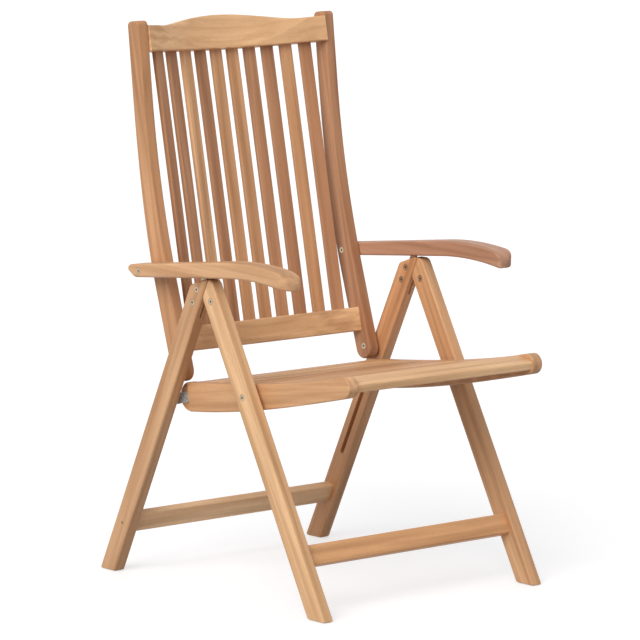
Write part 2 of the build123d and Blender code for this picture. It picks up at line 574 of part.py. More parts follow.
stile -= panel * rail_tenons(bottom_middle, 0, BOTTOM_RAIL_HEIGHT, RUN_CLEARANCE)
stile -= panel * Pos(0, 0, top_rail_z) * rail_tenons(top_middle, 0, TOP_RAIL_HEIGHT, RUN_CLEARANCE)
add_pair("back_stile", stile)
nodes["back_bottom_rail"] = panel * bottom_rail
nodes["back_top_rail"] = panel * top_rail

back_bolt = rod(back_pivot, BACK_BOLT_RADIUS, stile_inner_x, back_bolt_end_x)
back_bolt += rod(back_pivot, BOLT_HEAD_RADIUS, stile_inner_x, stile_inner_x + BOLT_HEAD_THICK)
back_bolt -= across(Pos(back_pivot[0], back_pivot[1]) * RegularPolygon(BOLT_SOCKET / math.sqrt(3), 6),
                    stile_inner_x, stile_inner_x + BOLT_SOCKET_DEPTH)
nodes["back_pivot_bolts"] = both_sides(back_bolt)
washer_face = Pos(back_pivot[0], back_pivot[1]) * (
    Circle(BACK_WASHER_RADIUS) - Circle(BACK_BOLT_RADIUS + RUN_CLEARANCE))
nodes["back_pivot_washers"] = both_sides(
    across(washer_face, STILE_OUTER_X + SIDE_CLEARANCE, leg_inner_x - SIDE_CLEARANCE))

# Arms: a board that rises to the front, then droops in an arc; the rear end is slanted
arm_outer_x = ARM_INNER_X + ARM_WIDTH
arm_forward = ARM_PITCH - 90
arm_up = ARM_PITCH
bend_point = move(arm_pivot, arm_forward, ARM_STRAIGHT)
tail_point = move(arm_pivot, arm_forward, -ARM_TAIL)
front_y = arm_pivot[0] - ARM_REACH
tail_over = move(move(tail_point, arm_up, ARM_REAR_THICK / 2), arm_forward, -ARM_TAIL_SLANT)
tail_under = move(move(tail_point, arm_up, -ARM_REAR_THICK / 2), arm_forward, ARM_TAIL_SLANT)
bend_over = move(bend_point, arm_up, ARM_FRONT_THICK / 2)
bend_under = move(bend_point, arm_up, -ARM_FRONT_THICK / 2)
droop_center = move(bend_point, arm_up, -ARM_DROOP_RADIUS)


def droop_at_front(radius):
    """End of a drooping edge, straight above the arm's front."""
    return (front_y, droop_center[1] + math.sqrt(radius**2 - (front_y - droop_center[0])**2))


def droop_middle(start, end, radius):
    middle = between(start, end, 0.5)
    return move(droop_center, bearing(droop_center, middle), radius)


over_radius = ARM_DROOP_RADIUS + ARM_FRONT_THICK / 2
under_radius = ARM_DROOP_RADIUS - ARM_FRONT_THICK / 2
front_over, front_under = droop_at_front(over_radius), droop_at_front(under_radius)
arm_face = make_face([
    Line(tail_under, tail_over),
    Line(tail_over, bend_over),
    ThreePointArc(bend_over, droop_middle(bend_over, front_over, over_radius), front_over),
    Line(front_over, front_under),
    ThreePointArc(front_under, droop_middle(bend_under, front_under, under_radius), bend_under),
    Line(bend_under, tail_under)])
arm_face = fillet(near_vertex(arm_face, tail_over), ARM_TAIL_ROUND)
arm_face = fillet(near_vertex(arm_face, tail_under), ARM_TAIL_ROUND)
arm = across(arm_face, ARM_INNER_X, arm_outer_x)
for side, radius in ((0, ARM_FRONT_INNER_ROUND), (-1, ARM_FRONT_OUTER_ROUND)):
    front_end = arm.faces().filter_by(Axis.Y).sort_by(Axis.Y)[0]
    arm = fillet(front_end.edges().filter_by(Axis.Z).sort_by(Axis.X)[side], radius)
smooth_seams = arm.edges().filter_by(Axis.Z) + arm.edges().filter_by(Axis.X).filter_by_position(
    Axis.Y, front_y + ARM_EDGE_ROUND, CHAIR_DEPTH)
arm = fillet(arm.edges() - smooth_seams, ARM_EDGE_ROUND)

# Groove in the arm's underside, with the notched rail on its roof
pin_reach = math.dist(arm_pivot, arm_pin) * math.cos(rad(bearing(arm_pivot, arm_pin) - arm_forward))
pin_below = math.dist(arm_pivot, arm_pin) * math.sin(rad(arm_forward - bearing(arm_pivot, arm_pin)))
tips_below = pin_below - ARM_PIN_RADIUS - NOTCH_PIN_GAP
roof_below = tips_below - NOTCH_RAIL_HEIGHT


def on_arm(reach, below):
    """Side-view point a reach in front of the arm's pivot and a distance under its middle line."""
    return move(move(arm_pivot, arm_forward, reach), arm_up, -below)


def arm_block(reach_from, reach_to, below_from, below_to, width):
    """Block in the arm's own directions, centred on the support pin across the chair."""
    face = make_face(Polyline(on_arm(reach_from, below_from), on_arm(reach_to, below_from),
                              on_arm(reach_to, below_to), on_arm(reach_from, below_to), close=True))
    return across(face, leg_mid_x - width / 2, leg_mid_x + width / 2)


groove_from = pin_reach - ARM_GROOVE_MARGIN
groove_to = pin_reach + (NOTCHES - 1) * NOTCH_PITCH + ARM_GROOVE_MARGIN
groove_width = ARM_PIN_LENGTH + 2 * ARM_GROOVE_PLAY
arm -= arm_block(groove_from, groove_to, roof_below, ARM_FRONT_THICK, groove_width)
arm -= rod(arm_pivot, BOLT_RADIUS + RUN_CLEARANCE, ARM_INNER_X, arm_outer_x)
arm -= head_recess(arm_pivot, arm_outer_x, -1, SIDE_CLEARANCE)
notch_rail = arm_block(groove_from, groove_to, roof_below, tips_below, ARM_PIN_LENGTH)
notch_radius = ARM_PIN_RADIUS + NOTCH_PIN_GAP
for index in range(NOTCHES):
    notch = on_arm(pin_reach + index * NOTCH_PITCH, tips_below + notch_radius - NOTCH_DEPTH)
    notch_rail -= rod(notch, notch_radius, ARM_INNER_X, arm_outer_x)
rail_screws = []
for reach in (groove_from + ARM_GROOVE_MARGIN / 2, groove_to - ARM_GROOVE_MARGIN / 2):
    screw = Pos(leg_mid_x, 0, 0) * Plane(origin=(0, *on_arm(reach, tips_below)), x_dir=(1, 0, 0),
                                         z_dir=(0, math.sin(rad(arm_up)), math.cos(rad(arm_up))))
    length = NOTCH_RAIL_HEIGHT + RAIL_SCREW_GRIP
    bore = Pos(0, 0, length / 2) * Cylinder(SCREW_RADIUS + RUN_CLEARANCE, length + 2 * RUN_CLEARANCE)
    notch_rail -= screw * bore
    arm -= screw * bore
    rail_screws.append(screw * Pos(0, 0, length / 2) * Cylinder(SCREW_RADIUS, length))
add_pair("arm", arm)
add_pair("arm_notch_rail", notch_rail)
add_pair("arm_rail_screws", Compound(children=rail_screws))
add_pair("arm_pivot_bolt", bolt(arm_pivot, BOLT_RADIUS, stile_inner_x, arm_outer_x))

os.makedirs("parts", exist_ok=True)
for name, solid in nodes.items():
    export_step(solid, f"parts/{name}.step")
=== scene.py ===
# %% [markdown]
# # A folding teak recliner for the porch
# The chair is all boards and bolts: two pairs of legs that scissor, a slatted seat, a tall slatted back and
# two arms that slide over a pin as the back leans. Every board already exists as a solid, so this lesson is
# about what makes timber look like timber: the grain that runs along each board, the tone that differs from
# board to board, the end grain at the cut ends, and the dull metal of the fittings.

# %% Load the chair and keep its size
import json
import math
import random

import bmesh
import bpy
from mathutils import Euler, Matrix, Vector


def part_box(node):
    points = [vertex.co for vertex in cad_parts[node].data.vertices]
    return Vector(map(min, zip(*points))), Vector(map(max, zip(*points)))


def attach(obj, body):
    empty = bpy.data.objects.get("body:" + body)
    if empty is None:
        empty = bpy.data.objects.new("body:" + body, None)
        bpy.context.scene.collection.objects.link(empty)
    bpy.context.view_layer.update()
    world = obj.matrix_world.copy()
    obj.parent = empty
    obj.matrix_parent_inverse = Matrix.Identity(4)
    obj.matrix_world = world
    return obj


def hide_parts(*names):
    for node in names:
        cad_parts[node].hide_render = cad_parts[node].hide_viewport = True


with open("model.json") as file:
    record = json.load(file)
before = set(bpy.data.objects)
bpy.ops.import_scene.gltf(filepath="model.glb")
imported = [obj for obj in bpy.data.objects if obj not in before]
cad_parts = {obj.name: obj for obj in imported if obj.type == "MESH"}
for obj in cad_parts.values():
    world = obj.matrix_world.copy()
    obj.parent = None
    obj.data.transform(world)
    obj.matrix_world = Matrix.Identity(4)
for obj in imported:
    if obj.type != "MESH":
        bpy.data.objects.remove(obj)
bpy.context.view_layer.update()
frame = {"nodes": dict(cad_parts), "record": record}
boards = frame["nodes"]
scene = bpy.context.scene
scene.view_settings.view_transform = "Standard"

# %% [markdown]
# ## The camera
# The chair is seen from its right front corner, a little above the seat, with a long lens from far away, so
# the left and right boards stay almost parallel. A long lens is set by its focal length, and the distance
# follows: here about 229 mm on a 36 mm sensor, just over eight metres off. The aim is the point on the
# chair's middle plane that falls in the middle of the picture.

# %% Camera
view_azimuth, view_elevation, view_roll = -40.445, 8.0, 0.093
view_distance, view_lens = 8.225, 228.85
view_aim = Vector((0.0, 0.0145, 0.5285))
turn, rise = math.radians(view_azimuth), math.radians(view_elevation)
towards_camera = Vector((math.sin(turn) * math.cos(rise), -math.cos(turn) * math.cos(rise), math.sin(rise)))
camera_data = bpy.data.cameras.new("porch_camera")
camera_data.lens = view_lens
camera = bpy.data.objects.new("porch_camera", camera_data)
stand = Matrix.Translation(view_aim + towards_camera * view_distance)
level = (-towards_camera).to_track_quat("-Z", "Y").to_matrix().to_4x4()
camera.matrix_world = stand @ level @ Matrix.Rotation(math.radians(view_roll), 4, "Z")
scene.collection.objects.link(camera)
scene.camera = camera
print("camera at", [round(v, 3) for v in stand.translation])

# %% [markdown]
# ## A small helper for shader trees
# A material is a handful of nodes joined by links. Writing each node's settings and links out on separate
# lines hides the idea, so one helper adds a node, sets what is constant and joins what comes from another
# node. The three below it are the nodes that come up most: a ramp, a sum and a mix of two colours.


# %% Helpers: add nodes to a tree
def add(tree, kind, joins=(), **settings):
    """Adds a node; each join is (input, value or output socket)."""
    node = tree.nodes.new(kind)
    for name, value in settings.items():
        setattr(node, name, value)
    for socket, value in joins:
        if isinstance(value, bpy.types.NodeSocket):
            tree.links.new(value, node.inputs[socket])
        else:
            node.inputs[socket].default_value = value
    return node


def ramp(tree, factor, *stops):
    """A colour ramp with (position, grey or colour) stops."""
    node = add(tree, "ShaderNodeValToRGB", [("Fac", factor)])
    elements = node.color_ramp.elements
    while len(elements) < len(stops):
        elements.new(0.5)
    for element, (position, tint) in zip(elements, stops):
        element.position = position
        element.color = (*tint, 1.0) if isinstance(tint, tuple) else (tint, tint, tint, 1.0)
    return node.outputs["Color"]


def maths(tree, operation, first, second=0.0, third=0.0):
    """One sum; only MULTIPLY_ADD uses the third value."""
    return add(tree, "ShaderNodeMath", [(0, first), (1, second), (2, third)], operation=operation).outputs[0]


def blended(tree, factor, first, second, blend_type="MIX"):
    """Two colours mixed; the mix node keeps its two colour inputs at places 6 and 7."""
    joins = [(0, factor), (6, first), (7, second)]
    return add(tree, "ShaderNodeMix", joins, data_type="RGBA", blend_type=blend_type).outputs[2]


print("helpers ready")

# %% [markdown]
# ## Teak, as a group of nodes
# Teak grows in rings round the heart of the log, so the lines on a board are rings cut lengthwise: straight
# and close on one face, wide arches on another. The group takes a place inside the log, with Z along the
# trunk, and makes rings round that Z. Slow noise bends the rings, streaks of darker oil run for a hand's
# length, and fine pores lie along the grain. A flat picture of wood could be pasted on, but it would not turn
# the corner from face to edge; rings in a solid log do. The cut ends look into the pores, so they are a
# little greyer and duller.

# %% Teak group: its sockets and small helpers
teak = bpy.data.node_groups.new("teak_log", "ShaderNodeTree")
for way, name, kind in (("INPUT", "Place", "Vector"), ("INPUT", "Facing", "Vector"),
                        ("INPUT", "Heart", "Color"), ("INPUT", "Line", "Color"),
                        ("OUTPUT", "Colour", "Color"), ("OUTPUT", "Roughness", "Float"),
                        ("OUTPUT", "Height", "Float")):
    teak.interface.new_socket(name, in_out=way, socket_type="NodeSocket" + kind)
log_in, log_out = teak.nodes.new("NodeGroupInput"), teak.nodes.new("NodeGroupOutput")
in_log, heartwood = log_in.outputs["Place"], log_in.outputs["Heart"]


def moved(operation, vector, amount):
    """A sum on the three parts of a place in the log."""
    return add(teak, "ShaderNodeVectorMath", [(0, vector), (1, amount)], operation=operation).outputs[0]


def along_grain(vector, stretch):
    """The same place, pulled out along the trunk so that a pattern runs lengthwise."""
    return moved("MULTIPLY", vector, (1.0, 1.0, 1.0 / stretch))


def noise(vector, scale, detail=2.0, roughness=0.5):
    """Soft patches; a larger scale makes them smaller."""
    return add(teak, "ShaderNodeTexNoise",
               [("Vector", vector), ("Scale", scale), ("Detail", detail), ("Roughness", roughness)])


def mask(factor, low, high):
    """Nothing below low, everything above high."""
    return ramp(teak, factor, (low, 0.0), (high, 1.0))


print("teak sockets:", len(teak.interface.items_tree))

# %% Teak group: rings, streaks and fibres
ring_strength, streak_strength, fibre_strength = 0.15, 0.62, 0.24
sway_amount = (0.022, 0.022, 0.0)
sway = moved("SUBTRACT", noise(along_grain(in_log, 7.0), 11.0).outputs["Color"], (0.5, 0.5, 0.5))
bent = moved("ADD", in_log, moved("MULTIPLY", sway, sway_amount))
rings = add(teak, "ShaderNodeTexWave",
            [("Vector", along_grain(bent, 40.0)), ("Scale", 21.0), ("Distortion", 1.6), ("Detail", 3.0),
             ("Detail Scale", 1.4)],
            wave_type="RINGS", rings_direction="Z", wave_profile="SAW")
streaks = noise(along_grain(bent, 30.0), 58.0, 2.5, 0.55)
pale_bands = noise(along_grain(bent, 18.0), 36.0)
cloud = noise(along_grain(in_log, 3.0), 6.0, 1.0)
fibres = noise(along_grain(in_log, 45.0), 640.0, 3.0, 0.65)
pores = noise(along_grain(in_log, 22.0), 1350.0, 1.0)
ring_share = maths(teak, "MULTIPLY", mask(rings.outputs["Fac"], 0.45, 0.97), ring_strength)
streak_share = maths(teak, "MULTIPLY", mask(streaks.outputs["Fac"], 0.45, 0.68), streak_strength)
grain_share = maths(teak, "ADD", ring_share, streak_share)
fibre_share = maths(teak, "MULTIPLY_ADD", fibres.outputs["Fac"], fibre_strength, -fibre_strength / 2)
dark_share = add(teak, "ShaderNodeMath", [(0, grain_share), (1, fibre_share)],
                 operation="ADD", use_clamp=True).outputs[0]
print("rings, streaks and fibres:", len(teak.nodes), "nodes")

# %% Teak group: pale bands, clouds of tone, pores and end grain
sapwood_tint, end_tint = (1.17, 1.25, 1.32, 1.0), (0.97, 0.98, 1.02, 1.0)
pore_colour, pore_strength, pore_depth = (0.20, 0.105, 0.055, 1.0), 0.22, 0.8
plain_rough, grain_rough, end_rough = 0.44, 0.16, 0.15
sapwood = blended(teak, 1.0, heartwood, sapwood_tint, "MULTIPLY")
light_wood = blended(teak, mask(pale_bands.outputs["Fac"], 0.46, 0.62), heartwood, sapwood)
grained = blended(teak, dark_share, light_wood, log_in.outputs["Line"])
cloud_tint = ramp(teak, cloud.outputs["Fac"], (0.3, 0.90), (0.7, 1.06))
clouded = blended(teak, 1.0, grained, cloud_tint, "MULTIPLY")
pore_mask = mask(pores.outputs["Fac"], 0.60, 0.70)
pored = blended(teak, maths(teak, "MULTIPLY", pore_mask, pore_strength), clouded, pore_colour)
facing = add(teak, "ShaderNodeSeparateXYZ", [(0, log_in.outputs["Facing"])])
end_mask = mask(maths(teak, "ABSOLUTE", facing.outputs["Z"]), 0.55, 0.98)
end_grain = blended(teak, 1.0, pored, end_tint, "MULTIPLY")
teak.links.new(blended(teak, end_mask, pored, end_grain), log_out.inputs["Colour"])
face_rough = maths(teak, "MULTIPLY_ADD", dark_share, grain_rough, plain_rough)
roughness = maths(teak, "ADD", face_rough, maths(teak, "MULTIPLY", end_mask, end_rough))
teak.links.new(roughness, log_out.inputs["Roughness"])
height = maths(teak, "SUBTRACT", fibres.outputs["Fac"], maths(teak, "MULTIPLY", pore_mask, pore_depth))
teak.links.new(height, log_out.inputs["Height"])
print("teak group:", len(teak.nodes), "nodes")

# %% [markdown]
# ## One finish per board
# Boards in one chair come from different logs: some are straw, some are ginger, and many of the back's slats
# are russet. One random tone per board would be quicker, but then the chair's own pattern of light and dark
# boards is lost, so the large boards are named with their tones. Each board has its own place in a log, drawn
# with a fixed seed so that every run is the same. The grain must run along the board, and the boards lean, so
# each one says how far its length leans from upright; the boards that run from side to side are first turned
# on end.

# %% Board tones
straw, honey, amber = (0.76, 0.445, 0.225), (0.69, 0.375, 0.185), (0.60, 0.325, 0.160)
ginger, rosy, russet = (0.61, 0.305, 0.142), (0.53, 0.280, 0.172), (0.48, 0.226, 0.110)
# Painted light: the rear stretcher lies in shade, so its pale tone is lifted to brighten it.
shade_lifted_pale, front_lifted_gold = (0.86, 0.535, 0.295), (0.78, 0.410, 0.190)
# Painted light: gold lifts the front stretcher, and the crest, the bottom rail and the front seat slat take
# the light straw tone, partly their own pale wood and partly painted light on front faces that the lamp
# leaves in shade.
board_tones = {"arm_right": amber, "arm_left": rosy,
               "front_leg_right": straw, "front_leg_left": honey, "front_stretcher": front_lifted_gold,
               "rear_leg_right": amber, "rear_leg_left": ginger, "rear_stretcher": shade_lifted_pale,
               "back_stile_right": ginger, "back_stile_left": russet,
               "back_top_rail": straw, "back_bottom_rail": straw,
               "seat_rail_right": honey, "seat_rail_left": amber, "seat_slat_1": straw}
slat_tones = (russet, russet, honey, russet, ginger, ginger, russet, russet, ginger, russet)
other_tones = (straw, honey, honey, ginger)
dice = random.Random(7)


def tone(name):
    """The board's tone, a little lighter or darker by chance; a few tones also carry painted light."""
    light = dice.uniform(0.96, 1.04)
    if name.startswith("back_slat"):
        family = slat_tones[int(name[-2:]) - 1]
    else:
        family = board_tones.get(name) or dice.choice(other_tones)
    return tuple(channel * light for channel in family)


print("boards with a tone of their own:", len(board_tones) + len(slat_tones))

# %% Board finish
lean_of = {"rear_leg": -25.8, "front_leg": 28.5, "back_stile": 12.0, "back_slat": 11.4,
           "arm": -92.0, "seat_rail": 98.0}
cross_lean_of = {"back": 11.4, "seat": 9.0}
grain_darkness, calm_darkness = 0.60, 0.78
line_tint = (1.0, 0.90, 0.82)
grain_bump, grain_depth, oil_sheen = 0.25, 0.0006, 0.35


def board_length(name):
    """The turn that carries a board's length onto the log's Z."""
    for family, lean in lean_of.items():
        if name.startswith(family):
            return Euler((math.radians(lean), 0.0, 0.0))
    lean = cross_lean_of.get(name.split("_")[0], 0.0)
    return Euler((math.radians(lean), math.radians(-90.0), 0.0))


def teak_board(name, heart, darkness):
    """One board's finish, at its own place in a log; darkness is the grain lines' share of the tone."""
    finish = bpy.data.materials.new("teak_" + name)
    finish.use_nodes = True
    tree = finish.node_tree
    shader = tree.nodes["Principled BSDF"]
    length = board_length(name)
    low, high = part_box(name)
    middle = length.to_matrix() @ ((low + high) / 2)
    spot = Vector((dice.uniform(0.03, 0.10), dice.uniform(-0.09, 0.09), dice.uniform(-3.0, 3.0)))
    where = add(tree, "ShaderNodeTexCoord")
    place = add(tree, "ShaderNodeMapping",
                [("Vector", where.outputs["Object"]), ("Location", spot - middle), ("Rotation", length)])
    facing = add(tree, "ShaderNodeMapping", [("Vector", where.outputs["Normal"]), ("Rotation", length)],
                 vector_type="NORMAL")
    log = add(tree, "ShaderNodeGroup", node_tree=teak)
    tree.links.new(place.outputs[0], log.inputs["Place"])
    tree.links.new(facing.outputs[0], log.inputs["Facing"])
    log.inputs["Heart"].default_value = (*heart, 1.0)
    line = tuple(part * darkness * tint for part, tint in zip(heart, line_tint))
    log.inputs["Line"].default_value = (*line, 1.0)
    bump = add(tree, "ShaderNodeBump",
               [("Height", log.outputs["Height"]), ("Strength", grain_bump), ("Distance", grain_depth)])
    tree.links.new(log.outputs["Colour"], shader.inputs["Base Color"])
    tree.links.new(log.outputs["Roughness"], shader.inputs["Roughness"])
    tree.links.new(bump.outputs["Normal"], shader.inputs["Normal"])
    shader.inputs["Specular IOR Level"].default_value = oil_sheen
    return finish


metal_words = ("bolt", "pin", "plate", "bracket", "screw", "washer", "spacer", "notch")
timber = sorted(n for n in boards if not any(word in n for word in metal_words))
for name in timber:
    finish = teak_board(name, tone(name), calm_darkness if name == "back_top_rail" else grain_darkness)
    boards[name].data.materials.clear()
    boards[name].data.materials.append(finish)
print("boards finished:", len(timber))

# %% [markdown]
# ## Fittings
# The bolts, pins and plates are plain steel that has been handled and oiled, a warm grey with fine scratches.
# A metal shader needs its colour, how rough it is and a little unevenness; the scratches are noise stretched
# one way. The slide brackets are zinc plated, so they are paler. The rear tenon pins are wood seen end on, so
# they are nearly brown; the front ones were cut from the same log as the leg and hardly show.

# %% Metal and pins
scratch_pull, scratch_bump, scratch_depth = (1.0, 9.0, 1.0), 0.15, 0.0003
stain_shade = 0.72


def fitting_finish(name, tint, metallic, rough_low, rough_high):
    """A finish with stains in its tint and scratches in its gloss."""
    finish = bpy.data.materials.new(name)
    finish.use_nodes = True
    tree = finish.node_tree
    shader = tree.nodes["Principled BSDF"]
    where = add(tree, "ShaderNodeTexCoord")
    pulled = add(tree, "ShaderNodeMapping", [("Vector", where.outputs["Object"]), ("Scale", scratch_pull)])
    scratch = add(tree, "ShaderNodeTexNoise",
                  [("Vector", pulled.outputs[0]), ("Scale", 420.0), ("Detail", 4.0)])
    stain = add(tree, "ShaderNodeTexNoise", [("Vector", where.outputs["Object"]), ("Scale", 160.0)])
    stained = tuple(stain_shade * part for part in tint)
    worn = ramp(tree, stain.outputs["Fac"], (0.35, stained), (0.65, tint))
    tree.links.new(worn, shader.inputs["Base Color"])
    rough = add(tree, "ShaderNodeMapRange",
                [("Value", scratch.outputs["Fac"]), ("To Min", rough_low), ("To Max", rough_high)])
    tree.links.new(rough.outputs[0], shader.inputs["Roughness"])
    bump = add(tree, "ShaderNodeBump",
               [("Height", scratch.outputs["Fac"]), ("Strength", scratch_bump), ("Distance", scratch_depth)])
    tree.links.new(bump.outputs["Normal"], shader.inputs["Normal"])
    shader.inputs["Metallic"].default_value = metallic
    return finish


steel = fitting_finish("handled_steel", (0.63, 0.48, 0.33), 1.0, 0.30, 0.50)
pin_end = fitting_finish("tenon_pin_end", (0.24, 0.135, 0.075), 0.0, 0.55, 0.75)
bracket_zinc = fitting_finish("bracket_zinc", (0.58, 0.57, 0.53), 0.35, 0.40, 0.60)
for name in sorted(set(boards) - set(timber)):
    boards[name].data.materials.clear()
    finish = bracket_zinc if "bracket" in name else pin_end if "tenon" in name else steel
    if name == "front_tenon_pins":
        finish = boards["front_leg_right"].data.materials[0]
    boards[name].data.materials.append(finish)
print("fittings finished:", len(boards) - len(timber))

# %% [markdown]
# ## Boards with softer edges
# Sandpaper takes the sharp corners off a rail before it is oiled. The two curved rails of the back come with
# crisp edges, so each gets a copy with its long edges bevelled, and the copy stands in for the board. A bevel
# on every edge would also chew at the slats' holes and the tenons, so the edges are picked by where they lie:
# along the rail, and away from the row of holes, which runs in the middle of the rail's thickness. The back
# leans and bends, so each point is first read in the panel's own directions: across, out from the bend's
# centre, and up. The crest's hump is also drawn a little broader here, its scoop a little deeper, and the
# line where the scoop begins is kept sharp, because that curved line is what the eye finds first on this
# chair.

# %% Helpers: copy a board's mesh and let the copy stand in for it
carrier = {name: body for body, names in frame["record"]["behaviour"]["bodies"].items() for name in names}
crease = math.radians(32.0)


def open_copy(name):
    """A copy of a board's mesh, welded and with its flat faces joined, ready for mesh work."""
    mesh = bmesh.new()
    mesh.from_mesh(boards[name].data)
    bmesh.ops.remove_doubles(mesh, verts=mesh.verts, dist=1e-6)
    bmesh.ops.dissolve_limit(mesh, angle_limit=math.radians(0.2), verts=mesh.verts, edges=mesh.edges)
    return mesh


def new_piece(name, mesh, finish, body):
    """Turns mesh work into a piece that rides on a body; edges that bend more than the crease stay sharp."""
    data = bpy.data.meshes.new(name)
    bmesh.ops.triangulate(mesh, faces=[face for face in mesh.faces if len(face.verts) > 4])
    for face in mesh.faces:
        face.smooth = True
    for edge in mesh.edges:
        edge.smooth = edge.smooth and edge.calc_face_angle(0.0) < crease
    mesh.to_mesh(data)
    mesh.free()
    data.materials.append(finish)
    piece = bpy.data.objects.new(name, data)
    scene.collection.objects.link(piece)
    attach(piece, body)
    return piece


def stand_in(name, mesh):
    """The worked copy of a board, with the board's finish, in the board's place."""
    piece = new_piece(name + "_sanded", mesh, boards[name].data.materials[0], carrier[name])
    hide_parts(name)
    return piece


print("bodies to ride on:", sorted(set(carrier.values())))

# %% The back panel's own directions, its crest and its scoop
panel_foot, panel_lean = Vector((0.0, 0.16236, 0.46876)), math.radians(11.4)
bend_radius, bend_centre = 0.680, -0.63884
panel_upright = Matrix.Rotation(panel_lean, 3, "X")
panel_up = panel_upright.inverted() @ Vector((0.0, 0.0, 1.0))
panel_back = panel_upright.inverted() @ Vector((0.0, 1.0, 0.0))
crest_foot, crest_rise, crest_reach = 0.662, 0.021, 0.178
scoop_more, scoop_reach, scoop_back = 0.0065, 0.198, 0.690
on_crest = crest_foot - 0.0001


def panel_place(point):
    """Across, out from the bend's centre, and up the panel."""
    flat = panel_upright @ (point - panel_foot)
    return flat.x, math.hypot(flat.x, flat.y - bend_centre), flat.z


def widened_crest(across, up):
    """How far a point of the crest rises when the hump gets its broad, flat-topped line."""
    if up < on_crest or abs(across) > crest_reach:
        return 0.0
    return crest_foot + crest_rise * (1.0 - (across / crest_reach) ** 2) ** 1.5 - up


print("crest rises", crest_rise, "over", 2 * crest_reach)

# %% The two back rails with eased edges
edge_ease, stile_face, hole_half = 0.0028, 0.2335, 0.006
lengthwise_share, sharp_bend, corner_bend = 0.6, 4.0, 35.0


def eased_rail(name, holes_to):
    """Bevels the rail's long outer edges; the slats' holes lie below holes_to in the middle of the rail."""
    mesh = open_copy(name)
    for corner in mesh.verts:
        across, out, up = panel_place(corner.co)
        corner.co += panel_up * widened_crest(across, up)
        if up > on_crest and out < scoop_back:
            corner.co += panel_back * scoop_more * max(1.0 - (across / scoop_reach) ** 2, 0.0)
    chosen = []
    for edge in mesh.edges:
        start, end = (panel_place(corner.co) for corner in edge.verts)
        out, up = ((start[part] + end[part]) / 2 for part in (1, 2))
        lengthwise = abs(start[0] - end[0]) > lengthwise_share * edge.calc_length()
        between_stiles = max(abs(start[0]), abs(end[0])) < stile_face
        in_hole = abs(out - bend_radius) < hole_half and up < holes_to
        bend = math.degrees(edge.calc_face_angle(0.0))
        edge.smooth = bend < sharp_bend
        if lengthwise and between_stiles and not in_hole and bend > corner_bend:
            chosen.append(edge)
    bmesh.ops.bevel(mesh, geom=chosen, offset=edge_ease, segments=3, profile=0.5, affect="EDGES",
                    clamp_overlap=False)
    return stand_in(name, mesh), len(chosen)


for rail, holes_to in (("back_top_rail", 0.645), ("back_bottom_rail", 1.0)):
    piece, count = eased_rail(rail, holes_to)
    print(piece.name, "edges eased:", count, "faces:", len(piece.data.polygons))

# %% [markdown]
# ## Arms with rounded noses
# The front end of each arm rolls over on its upper side, where a hand rests. The roll could be carved with a
# boolean, but the arm's top is itself part of a circle, and a cut through it leaves ragged edges. Slicing the
# copy across near its end gives the mesh rows to bend, and each row then sinks along a quarter circle. The
# underside must not move, so a point sinks by its share of the arm's thickness. Before that, both ends are
# drawn out by a few millimetres along the arm's bow, with the tail end cut on a slant.


# %% Helpers: slices and quarter circles
def within(value):
    """Held between 0 and 1."""
    return min(max(value, 0.0), 1.0)


def sliced(mesh, axis, places):
    """Cuts rows of new corners across the mesh, square to an axis."""
    for place in places:
        bmesh.ops.bisect_plane(mesh, geom=mesh.verts[:] + mesh.edges[:] + mesh.faces[:], dist=1e-6,
                               plane_co=axis * place, plane_no=axis)


def rounded(share):
    """How far a round end falls away: 1 at its tip, 0 where the round begins."""
    return 1.0 - math.sqrt(1.0 - (1.0 - share) ** 2)


print("a quarter circle falls", [round(rounded(quarter / 4), 2) for quarter in range(5)])

# %% The arms with rolled noses
arm_bow_centre, arm_under, arm_over = Vector((0.0, -0.11392, -0.01209)), 0.659, 0.691
nose_length, nose_drop = 0.034, 0.0165
nose_slices = (0.03, 0.07, 0.12, 0.19, 0.28, 0.39, 0.52, 0.68, 0.84, 1.0)
nose_reach, reach_start = 0.0105, -0.10
tail_reach, tail_start, tail_under, tail_slant = 0.0075, 0.2310, 0.4, 0.9


def thickness_share(from_bow):
    """0 on the arm's underside, 1 on its top."""
    return within((math.hypot(from_bow.y, from_bow.z) - arm_under) / (arm_over - arm_under))


for name in ("arm_left", "arm_right"):
    mesh = open_copy(name)
    front, tail = min(corner.co.y for corner in mesh.verts), max(corner.co.y for corner in mesh.verts)
    for corner in mesh.verts:
        from_bow = corner.co - arm_bow_centre
        forward = within((reach_start - corner.co.y) / (reach_start - front))
        backward = within((corner.co.y - tail_start) / (tail - tail_start))
        corner.co = arm_bow_centre + Matrix.Rotation(forward * nose_reach / arm_over, 3, "X") @ from_bow
        corner.co.y += backward * tail_reach * (tail_under + tail_slant * thickness_share(from_bow))
    front = min(corner.co.y for corner in mesh.verts)
    sliced(mesh, Vector((0.0, 1.0, 0.0)), [front + share * nose_length for share in nose_slices])
    for corner in mesh.verts:
        back_from_end = (corner.co.y - front) / nose_length
        if back_from_end < 1.0:
            corner.co.z -= thickness_share(corner.co - arm_bow_centre) * nose_drop * rounded(back_from_end)
    piece = stand_in(name, mesh)
    print(piece.name, "faces:", len(piece.data.polygons))

# %% [markdown]
# ## Feet worn round
# A chair that is dragged over a deck loses the sharp rim of its feet. Bevelling the rim would stumble over
# the many short edges of the legs' rounded corners, so the copy is sliced just above the floor, as the arms
# were, and each slice shrinks towards the middle of the leg along a quarter circle. The middle of the sole
# stays on the floor. The slices leave some very short edges, so corners that all but touch are joined.

